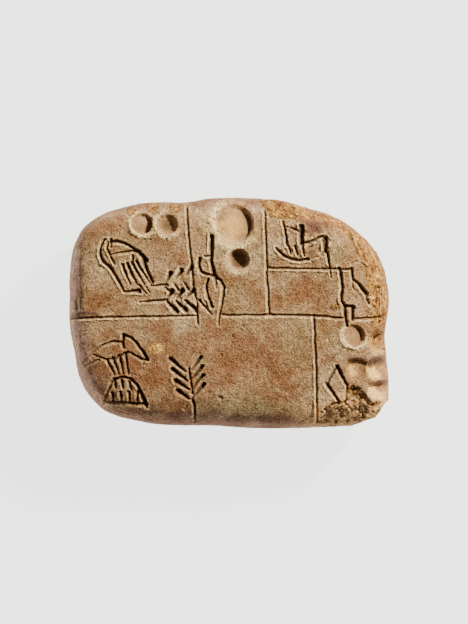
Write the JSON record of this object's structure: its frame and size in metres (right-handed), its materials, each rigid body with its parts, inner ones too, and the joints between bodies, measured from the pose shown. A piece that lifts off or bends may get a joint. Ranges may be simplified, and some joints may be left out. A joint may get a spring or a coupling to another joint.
{
  "type": "clay tablet",
  "caption": "Pillow-shaped clay tablet lying on its back, its face ruled into fields with incised figures and round dents, two edges broken.",
  "frame": {"origin": "on the flattened underside, below the middle of the tablet's outline", "axes": "+Z out of the inscribed face, +Y towards the top edge of the face, +X towards its right edge"},
  "size_m": [0.0749, 0.0538, 0.021],
  "materials": {
    "clay": "dry matt sun-baked clay, buff with reddish-brown patches, rougher and yellower where it is broken"
  },
  "bodies": {
    "root": {"tablet": "clay"}
  },
  "joints": []
}
